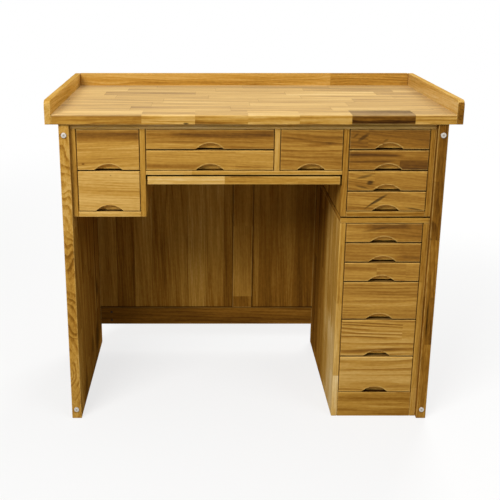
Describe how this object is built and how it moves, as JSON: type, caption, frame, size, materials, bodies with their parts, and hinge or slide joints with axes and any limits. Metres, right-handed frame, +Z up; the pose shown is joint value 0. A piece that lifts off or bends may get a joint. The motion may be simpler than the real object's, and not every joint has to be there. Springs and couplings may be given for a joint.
{
  "type": "watchmaker's bench",
  "caption": "Solid-wood watchmaker's bench with a railed worktop, shallow and deep drawers with half-moon pulls, a pull-out tray and a knee space.",
  "frame": {"origin": "on the floor under the middle of the worktop", "axes": "+X to the sitter's right along the worktop, +Y from the drawer fronts to the back, +Z up"},
  "size_m": [1.2, 0.6, 1.0227],
  "materials": {
    "worktop": "satin varnish over pale staves",
    "gallery": "satin varnish",
    "slab": "satin varnish over upright staves",
    "case": "satin varnish",
    "drawer_front": "satin varnish, grain across",
    "back": "thin varnish over upright staves",
    "drawer_box": "bare sanded wood",
    "cap": "satin silver"
  },
  "bodies": {
    "bench": {"worktop": "worktop", "rail_left": "gallery", "rail_right": "gallery", "rail_back": "gallery", "side_panel_left": "slab", "side_panel_right": "slab", "case_top": "case", "left_case_outer_wall": "case", "left_case_inner_wall": "case", "centre_divider": "case", "right_case_inner_wall": "case", "right_case_outer_wall": "case", "left_case_bottom": "case", "centre_bottom": "case", "right_case_bottom": "case", "case_back": "back", "back_rail": "back", "back_panel": "back", "back_stile": "back", "pedestal_inner_wall": "slab", "pedestal_outer_wall": "slab", "pedestal_top": "case", "plinth": "case", "pedestal_bottom": "case", "pedestal_back": "back", "cap_left_upper": "cap", "cap_left_lower": "cap", "cap_right_upper": "cap", "cap_right_lower": "cap"},
    "drawer_left_1": {"drawer_left_1_front": "drawer_front", "drawer_left_1_box": "drawer_box"},
    "drawer_left_2": {"drawer_left_2_front": "drawer_front", "drawer_left_2_box": "drawer_box"},
    "drawer_wide_1": {"drawer_wide_1_front": "drawer_front", "drawer_wide_1_box": "drawer_box"},
    "drawer_wide_2": {"drawer_wide_2_front": "drawer_front", "drawer_wide_2_box": "drawer_box"},
    "drawer_small_1": {"drawer_small_1_front": "drawer_front", "drawer_small_1_box": "drawer_box"},
    "drawer_right_1": {"drawer_right_1_front": "drawer_front", "drawer_right_1_box": "drawer_box"},
    "drawer_right_2": {"drawer_right_2_front": "drawer_front", "drawer_right_2_box": "drawer_box"},
    "drawer_right_3": {"drawer_right_3_front": "drawer_front", "drawer_right_3_box": "drawer_box"},
    "drawer_right_4": {"drawer_right_4_front": "drawer_front", "drawer_right_4_box": "drawer_box"},
    "drawer_pedestal_1": {"drawer_pedestal_1_front": "drawer_front", "drawer_pedestal_1_box": "drawer_box"},
    "drawer_pedestal_2": {"drawer_pedestal_2_front": "drawer_front", "drawer_pedestal_2_box": "drawer_box"},
    "drawer_pedestal_3": {"drawer_pedestal_3_front": "drawer_front", "drawer_pedestal_3_box": "drawer_box"},
    "drawer_pedestal_4": {"drawer_pedestal_4_front": "drawer_front", "drawer_pedestal_4_box": "drawer_box"},
    "drawer_pedestal_5": {"drawer_pedestal_5_front": "drawer_front", "drawer_pedestal_5_box": "drawer_box"},
    "drawer_pedestal_6": {"drawer_pedestal_6_front": "drawer_front", "drawer_pedestal_6_box": "drawer_box"},
    "tray": {"tray": "case"}
  },
  "joints": [
    {"name": "drawer_left_1_slide", "type": "slide", "parent": "bench", "child": "drawer_left_1", "axis": [0, -1, 0], "range_m": [0, 0.33]},
    {"name": "drawer_left_2_slide", "type": "slide", "parent": "bench", "child": "drawer_left_2", "axis": [0, -1, 0], "range_m": [0, 0.33]},
    {"name": "drawer_wide_1_slide", "type": "slide", "parent": "bench", "child": "drawer_wide_1", "axis": [0, -1, 0], "range_m": [0, 0.33]},
    {"name": "drawer_wide_2_slide", "type": "slide", "parent": "bench", "child": "drawer_wide_2", "axis": [0, -1, 0], "range_m": [0, 0.33]},
    {"name": "drawer_small_1_slide", "type": "slide", "parent": "bench", "child": "drawer_small_1", "axis": [0, -1, 0], "range_m": [0, 0.33]},
    {"name": "drawer_right_1_slide", "type": "slide", "parent": "bench", "child": "drawer_right_1", "axis": [0, -1, 0], "range_m": [0, 0.33]},
    {"name": "drawer_right_2_slide", "type": "slide", "parent": "bench", "child": "drawer_right_2", "axis": [0, -1, 0], "range_m": [0, 0.33]},
    {"name": "drawer_right_3_slide", "type": "slide", "parent": "bench", "child": "drawer_right_3", "axis": [0, -1, 0], "range_m": [0, 0.33]},
    {"name": "drawer_right_4_slide", "type": "slide", "parent": "bench", "child": "drawer_right_4", "axis": [0, -1, 0], "range_m": [0, 0.33]},
    {"name": "drawer_pedestal_1_slide", "type": "slide", "parent": "bench", "child": "drawer_pedestal_1", "axis": [0, -1, 0], "range_m": [0, 0.33]},
    {"name": "drawer_pedestal_2_slide", "type": "slide", "parent": "bench", "child": "drawer_pedestal_2", "axis": [0, -1, 0], "range_m": [0, 0.33]},
    {"name": "drawer_pedestal_3_slide", "type": "slide", "parent": "bench", "child": "drawer_pedestal_3", "axis": [0, -1, 0], "range_m": [0, 0.33]},
    {"name": "drawer_pedestal_4_slide", "type": "slide", "parent": "bench", "child": "drawer_pedestal_4", "axis": [0, -1, 0], "range_m": [0, 0.33]},
    {"name": "drawer_pedestal_5_slide", "type": "slide", "parent": "bench", "child": "drawer_pedestal_5", "axis": [0, -1, 0], "range_m": [0, 0.33]},
    {"name": "drawer_pedestal_6_slide", "type": "slide", "parent": "bench", "child": "drawer_pedestal_6", "axis": [0, -1, 0], "range_m": [0, 0.33]},
    {"name": "tray_slide", "type": "slide", "parent": "bench", "child": "tray", "axis": [0, -1, 0], "range_m": [0, 0.29]}
  ]
}
